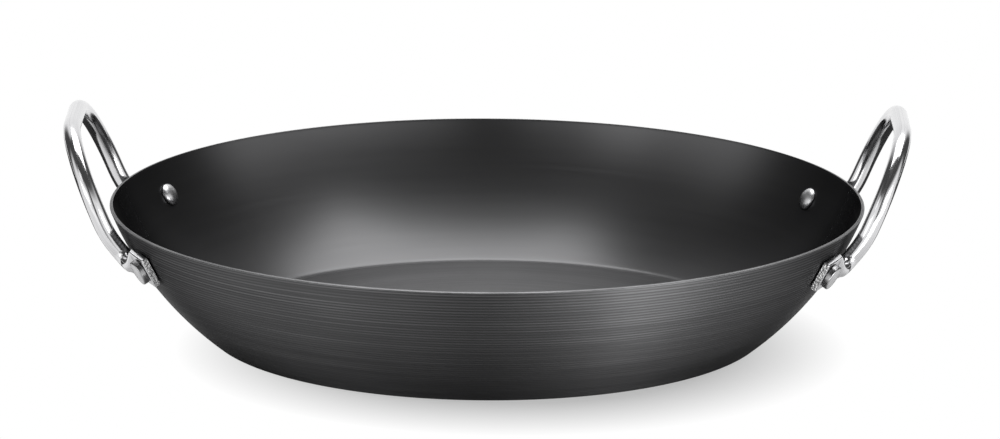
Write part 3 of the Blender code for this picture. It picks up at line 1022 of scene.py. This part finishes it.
def soft_box(name, location, aim, size, radiance):
    """An area lamp aimed at a point, with the power that gives its face the wanted brightness."""
    lamp = bpy.data.lights.new(name, "AREA")
    lamp.shape = "RECTANGLE"
    lamp.size, lamp.size_y = size
    lamp.energy = radiance * math.pi * size[0] * size[1]
    item = bpy.data.objects.new(name, lamp)
    bpy.context.scene.collection.objects.link(item)
    item.visible_camera = False
    item.location = location
    item.rotation_mode = "QUATERNION"
    item.rotation_quaternion = (Vector(aim) - Vector(location)).to_track_quat("-Z", "Y")
    print("soft box:", name, "power", round(lamp.energy, 2))


for settings in SOFT_BOXES:
    soft_box(*settings)

# %% [markdown]
# ## Black cards
# Polished rod in front of white has no outline, so a photographer lays black cards just out of
# the picture, and the rod's two edges mirror them as thin dark lines. Here the cards lie on the
# floor beside the pan. Only mirrored rays see them, so they cast no shadow.

# %% Lay out the black cards
# Each card is given by one corner and by its two edges.
BLACK_CARDS = (
    ("card_left", (-0.17, 0.03, 0.001), (-0.60, 0.0, 0.0), (0.0, 0.37, 0.0)),
    ("card_right", (0.17, 0.03, 0.001), (0.60, 0.0, 0.0), (0.0, 0.37, 0.0)),
)
card_black = new_material("card_black", metallic=0.0, roughness=0.9, colour=(0.03, 0.03, 0.03))[0]


def black_card(name, corner, first_edge, second_edge):
    """A dull black card that only mirrored rays see."""
    corner, first_edge, second_edge = Vector(corner), Vector(first_edge), Vector(second_edge)
    mesh = bpy.data.meshes.new(name)
    mesh.from_pydata([corner, corner + first_edge, corner + first_edge + second_edge,
                      corner + second_edge], [], [(0, 1, 2, 3)])
    mesh.materials.append(card_black)
    card = bpy.data.objects.new(name, mesh)
    bpy.context.scene.collection.objects.link(card)
    card.visible_camera = False
    card.visible_diffuse = False
    card.visible_shadow = False


for settings in BLACK_CARDS:
    black_card(*settings)
print("black cards:", len(BLACK_CARDS))

# %% [markdown]
# ## The room
# The world is a dim room that the camera sees as plain white. Mirrored rays see it as it would
# stand round the pan: dark overhead, a white backdrop behind, and a white screen at each side in
# front with a dark gap between them, where the camera would be. Real cards and walls could stand
# there, but a soft mask made from the ray's direction gives each screen a soft edge.

# %% The room and the backdrop
ROOM_GREY = 0.07
BACKDROP_FRONT = (0.25, 0.45)     # the white sweep behind the pan rises from here
BACKDROP_SIDE = (0.45, 0.65)      # and reaches this far to the sides
SCREEN_TOP = (0.38, 0.62)         # height of the two white side screens
SCREEN_BACK = (0.0, 0.22)         # where they end towards the back
SCREEN_GAP = (0.10, 0.22)         # half of the dark gap between them, on the camera's side


def make_world():
    world = bpy.data.worlds.new("studio_room")
    world.use_nodes = True
    tree = world.node_tree
    tree.nodes.clear()
    sky = place(tree, "ShaderNodeTexCoord").outputs["Generated"]
    parts = place(tree, "ShaderNodeSeparateXYZ")
    join(tree, sky, parts.inputs["Vector"])
    x, y, z = parts.outputs
    height = arithmetic(tree, "ABSOLUTE", z)
    aside = arithmetic(tree, "ABSOLUTE", x)
    backdrop = arithmetic(tree, "MULTIPLY", spread(tree, y, 0.0, 1.0, *BACKDROP_FRONT),
                          spread(tree, aside, 1.0, 0.0, *BACKDROP_SIDE))
    beside_gap = spread(tree, aside, 0.0, 1.0, *SCREEN_GAP)
    in_front = arithmetic(tree, "MULTIPLY", beside_gap, spread(tree, y, 1.0, 0.0, *SCREEN_BACK))
    screens = arithmetic(tree, "MULTIPLY", in_front, spread(tree, height, 1.0, 0.0, *SCREEN_TOP))
    path = place(tree, "ShaderNodeLightPath").outputs
    mirrored = arithmetic(tree, "MAXIMUM", path["Is Glossy Ray"], path["Is Transmission Ray"])
    shown = arithmetic(tree, "MAXIMUM", path["Is Camera Ray"],
                       arithmetic(tree, "MULTIPLY", mirrored,
                                  arithmetic(tree, "MAXIMUM", backdrop, screens)))
    room = place(tree, "ShaderNodeBackground", Color=(ROOM_GREY,) * 3 + (1.0,))
    white = place(tree, "ShaderNodeBackground", Color=(1.0, 1.0, 1.0, 1.0))
    mix = place(tree, "ShaderNodeMixShader")
    join(tree, shown, mix.inputs["Fac"])
    join(tree, room.outputs["Background"], mix.inputs[1])
    join(tree, white.outputs["Background"], mix.inputs[2])
    output = place(tree, "ShaderNodeOutputWorld")
    join(tree, mix.outputs["Shader"], output.inputs["Surface"])
    bpy.context.scene.world = world


make_world()
bpy.context.scene.view_settings.view_transform = "Standard"
print("world:", bpy.context.scene.world.name)
